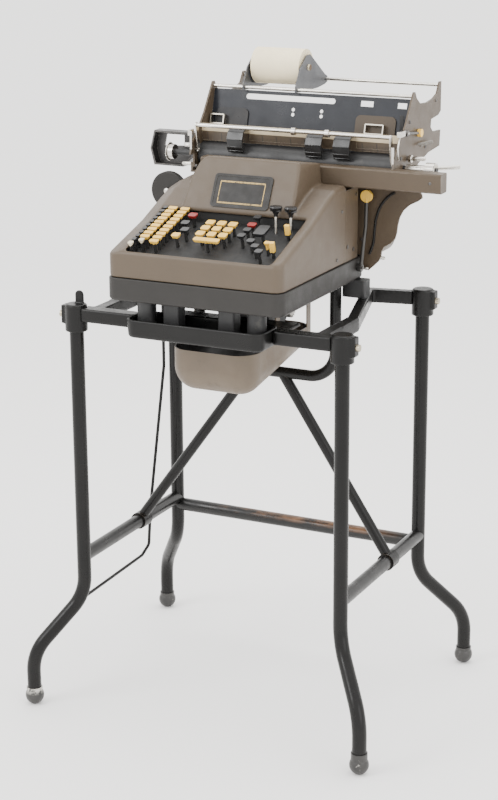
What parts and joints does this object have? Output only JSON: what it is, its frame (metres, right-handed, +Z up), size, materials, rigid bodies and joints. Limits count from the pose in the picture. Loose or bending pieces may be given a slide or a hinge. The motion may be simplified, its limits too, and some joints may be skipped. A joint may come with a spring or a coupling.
{
  "type": "mechanical adding machine on stand",
  "caption": "Office adding machine with a sliding wide carriage, key banks and a paper roll, bolted on a black tubular stand with splayed feet.",
  "frame": {"origin": "on the floor, at the centre of the overall plan", "axes": "+Z up, -Y towards the operator at the keyboard, +X to the operator's right"},
  "size_m": [0.6255, 0.5109, 1.065],
  "materials": {
    "stand_enamel": "worn glossy black enamel, chipped at the joints",
    "foot_metal": "dark worn foot balls with bare metal patches",
    "housing_paint": "taupe brown crinkle paint",
    "base_paint": "dark grey crinkle paint",
    "well_black": "matt black keyboard well",
    "nickel": "bright nickel plate, slightly clouded",
    "steel": "bare machined steel",
    "key_yellow": "aged warm ivory yellow key caps",
    "key_black": "black key caps",
    "key_white": "ivory white key caps",
    "key_red": "deep red key caps",
    "gold_border": "gold lined dark plate",
    "motor_pan_paint": "tan brown paint",
    "table_enamel": "blue black enamel",
    "scale_enamel": "tan enamel with a bare edge",
    "finger_black": "black rubbery fingers",
    "platen_rubber": "hard black rubber",
    "knob_black": "black moulded knob",
    "paper": "wound cream paper",
    "motor_iron": "dark motor casting"
  },
  "bodies": {
    "stand": {"legs_front": "stand_enamel", "legs_back": "stand_enamel", "foot_tips": "foot_metal", "stretchers": "stand_enamel", "braces": "stand_enamel", "side_rod": "stand_enamel", "front_tray": "stand_enamel", "top_frame": "stand_enamel", "leg_clamps": "stand_enamel", "fasteners": "steel", "machine_feet": "platen_rubber", "base_pan": "base_paint", "housing": "housing_paint", "side_panels": "housing_paint", "carriage_support": "housing_paint", "back_cover": "housing_paint", "nameplate": "gold_border", "keyboard_plate": "well_black", "motor_cover": "motor_pan_paint", "motor": "motor_iron", "inner_frames": "steel"},
    "carriage": {"carriage_rail": "housing_paint", "end_plates": "housing_paint", "carriage_rods": "nickel", "paper_table": "table_enamel", "scale_strips": "scale_enamel", "paper_guides": "nickel", "paper_fingers": "finger_black", "end_bracket": "base_paint", "roll_holder": "nickel"},
    "platen": {"platen": "platen_rubber", "platen_knob": "nickel"},
    "bail": {"bail": "nickel"},
    "paper_roll": {"paper_roll": "paper"},
    "release_lever": {"release_lever": "key_yellow"},
    "side_lever": {"side_lever": "nickel"},
    "spring_drum": {"spring_drum": "base_paint"},
    "main_shaft": {"main_shaft": "steel"},
    "motor_rotor": {"motor_pinion": "steel"},
    "adding_wheels": {"adding_wheels": "steel"},
    "control_knobs": {"control_knobs": "nickel"},
    "key_0": {"key_0": "key_yellow"},
    "key_1": {"key_1": "key_yellow"},
    "key_2": {"key_2": "key_yellow"},
    "key_3": {"key_3": "key_yellow"},
    "key_4": {"key_4": "key_yellow"},
    "key_5": {"key_5": "key_yellow"},
    "key_6": {"key_6": "key_yellow"},
    "key_7": {"key_7": "key_yellow"},
    "key_8": {"key_8": "key_yellow"},
    "key_9": {"key_9": "key_yellow"},
    "red_key_left": {"red_key_left": "key_red"},
    "red_key_right": {"red_key_right": "key_red"},
    "motor_bar": {"motor_bar": "key_black"},
    "function_keys_left": {"function_keys_left": "key_black"},
    "function_keys_right": {"function_keys_right": "key_black"},
    "bank_keys_yellow": {"bank_keys_yellow": "key_yellow"},
    "bank_keys_black": {"bank_keys_black": "key_black"},
    "bank_keys_white": {"bank_keys_white": "key_white"},
    "tab_levers": {"tab_levers": "key_yellow"}
  },
  "joints": [
    {"name": "carriage_slide", "type": "slide", "parent": "stand", "child": "carriage", "axis": [1, 0, 0], "range_m": [-0.15, 0.02]},
    {"name": "platen_turn", "type": "hinge", "parent": "carriage", "child": "platen", "pos_m": [0.04, 0.097, 0.894], "axis": [1, 0, 0], "continuous": true},
    {"name": "bail_lift", "type": "hinge", "parent": "carriage", "child": "bail", "pos_m": [0.04, 0.072, 0.9055], "axis": [1, 0, 0], "range_deg": [0, 40], "stiffness_Nm_per_rad": 0.15, "springref_deg": -17.19},
    {"name": "paper_roll_turn", "type": "hinge", "parent": "carriage", "child": "paper_roll", "pos_m": [-0.032, 0.184, 1.035], "axis": [1, 0, 0], "continuous": true},
    {"name": "release_lever_turn", "type": "hinge", "parent": "carriage", "child": "release_lever", "pos_m": [0.226, 0.1, 0.95], "axis": [1, 0, 0], "range_deg": [0, 15]},
    {"name": "side_lever_turn", "type": "hinge", "parent": "stand", "child": "side_lever", "pos_m": [0.157, 0.081, 0.73], "axis": [1, 0, 0], "range_deg": [0, 14]},
    {"name": "spring_drum_turn", "type": "hinge", "parent": "stand", "child": "spring_drum", "pos_m": [-0.19, 0.074, 0.832], "axis": [0, 1, 0], "range_deg": [-275, 40]},
    {"name": "main_shaft_turn", "type": "hinge", "parent": "stand", "child": "main_shaft", "pos_m": [0, 0.02, 0.748], "axis": [1, 0, 0], "continuous": true},
    {"name": "motor_turn", "type": "hinge", "parent": "stand", "child": "motor_rotor", "pos_m": [0, 0.02, 0.664], "axis": [1, 0, 0], "continuous": true},
    {"name": "adding_wheels_turn", "type": "hinge", "parent": "stand", "child": "adding_wheels", "pos_m": [0, -0.01818, 0.78618], "axis": [1, 0, 0], "continuous": true},
    {"name": "control_knobs_pull", "type": "slide", "parent": "stand", "child": "control_knobs", "axis": [0, 0, 1], "range_m": [0, 0.006]},
    {"name": "key_0_press", "type": "slide", "parent": "stand", "child": "key_0", "axis": [0, 0.2924, -0.9563], "range_m": [0, 0.0045], "stiffness_N_per_m": 250, "springref_m": -0.001},
    {"name": "key_1_press", "type": "slide", "parent": "stand", "child": "key_1", "axis": [0, 0.2924, -0.9563], "range_m": [0, 0.0045], "stiffness_N_per_m": 250, "springref_m": -0.001},
    {"name": "key_2_press", "type": "slide", "parent": "stand", "child": "key_2", "axis": [0, 0.2924, -0.9563], "range_m": [0, 0.0045], "stiffness_N_per_m": 250, "springref_m": -0.001},
    {"name": "key_3_press", "type": "slide", "parent": "stand", "child": "key_3", "axis": [0, 0.2924, -0.9563], "range_m": [0, 0.0045], "stiffness_N_per_m": 250, "springref_m": -0.001},
    {"name": "key_4_press", "type": "slide", "parent": "stand", "child": "key_4", "axis": [0, 0.2924, -0.9563], "range_m": [0, 0.0045], "stiffness_N_per_m": 250, "springref_m": -0.001},
    {"name": "key_5_press", "type": "slide", "parent": "stand", "child": "key_5", "axis": [0, 0.2924, -0.9563], "range_m": [0, 0.0045], "stiffness_N_per_m": 250, "springref_m": -0.001},
    {"name": "key_6_press", "type": "slide", "parent": "stand", "child": "key_6", "axis": [0, 0.2924, -0.9563], "range_m": [0, 0.0045], "stiffness_N_per_m": 250, "springref_m": -0.001},
    {"name": "key_7_press", "type": "slide", "parent": "stand", "child": "key_7", "axis": [0, 0.2924, -0.9563], "range_m": [0, 0.0045], "stiffness_N_per_m": 250, "springref_m": -0.001},
    {"name": "key_8_press", "type": "slide", "parent": "stand", "child": "key_8", "axis": [0, 0.2924, -0.9563], "range_m": [0, 0.0045], "stiffness_N_per_m": 250, "springref_m": -0.001},
    {"name": "key_9_press", "type": "slide", "parent": "stand", "child": "key_9", "axis": [0, 0.2924, -0.9563], "range_m": [0, 0.0045], "stiffness_N_per_m": 250, "springref_m": -0.001},
    {"name": "red_key_left_press", "type": "slide", "parent": "stand", "child": "red_key_left", "axis": [0, 0.2924, -0.9563], "range_m": [0, 0.0045], "stiffness_N_per_m": 250, "springref_m": -0.001},
    {"name": "red_key_right_press", "type": "slide", "parent": "stand", "child": "red_key_right", "axis": [0, 0.2924, -0.9563], "range_m": [0, 0.0045], "stiffness_N_per_m": 250, "springref_m": -0.001},
    {"name": "motor_bar_press", "type": "slide", "parent": "stand", "child": "motor_bar", "axis": [0, 0.2924, -0.9563], "range_m": [0, 0.0045], "stiffness_N_per_m": 250, "springref_m": -0.001},
    {"name": "function_keys_left_press", "type": "slide", "parent": "stand", "child": "function_keys_left", "axis": [0, 0.2924, -0.9563], "range_m": [0, 0.0045], "stiffness_N_per_m": 500, "springref_m": -0.001},
    {"name": "function_keys_right_press", "type": "slide", "parent": "stand", "child": "function_keys_right", "axis": [0, 0.2924, -0.9563], "range_m": [0, 0.0045], "stiffness_N_per_m": 500, "springref_m": -0.001},
    {"name": "bank_keys_yellow_press", "type": "slide", "parent": "stand", "child": "bank_keys_yellow", "axis": [0, 0.2924, -0.9563], "range_m": [0, 0.0045], "stiffness_N_per_m": 900, "springref_m": -0.001},
    {"name": "bank_keys_black_press", "type": "slide", "parent": "stand", "child": "bank_keys_black", "axis": [0, 0.2924, -0.9563], "range_m": [0, 0.0045], "stiffness_N_per_m": 900, "springref_m": -0.001},
    {"name": "bank_keys_white_press", "type": "slide", "parent": "stand", "child": "bank_keys_white", "axis": [0, 0.2924, -0.9563], "range_m": [0, 0.0045], "stiffness_N_per_m": 500, "springref_m": -0.001},
    {"name": "tab_levers_press", "type": "slide", "parent": "stand", "child": "tab_levers", "axis": [0, 0.2924, -0.9563], "range_m": [0, 0.0045], "stiffness_N_per_m": 500, "springref_m": -0.001}
  ],
  "couplings": [
    {"joint": "spring_drum_turn", "follows": "carriage_slide", "rad_per_m": 31.25},
    {"joint": "motor_turn", "follows": "main_shaft_turn", "ratio": -6},
    {"joint": "adding_wheels_turn", "follows": "main_shaft_turn", "ratio": -2}
  ]
}
